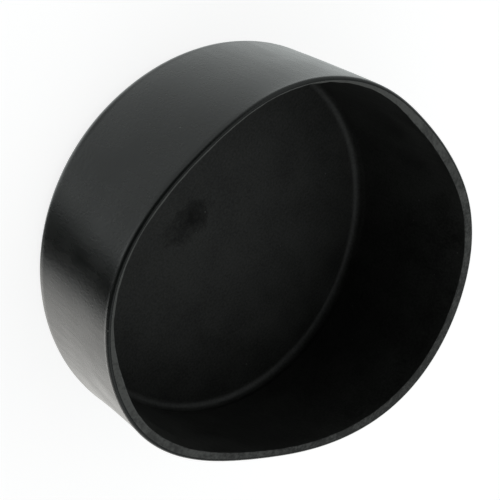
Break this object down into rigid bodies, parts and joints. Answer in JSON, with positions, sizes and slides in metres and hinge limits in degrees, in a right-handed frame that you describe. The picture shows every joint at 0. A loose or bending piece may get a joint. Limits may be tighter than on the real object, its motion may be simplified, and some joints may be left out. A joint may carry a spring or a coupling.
{
  "type": "pipe end cap",
  "caption": "Round push-on end cap for pipe: a soft black cup with a thin wall, a flat closed end and a plain socket.",
  "frame": {"origin": "centre of the flat outer face of the closed end", "axes": "+Z along the cap's axis, out of the open mouth"},
  "size_m": [0.12, 0.1198, 0.0478],
  "materials": {
    "cap": "satin black flexible moulding"
  },
  "bodies": {
    "root": {"cap": "cap"}
  },
  "joints": []
}
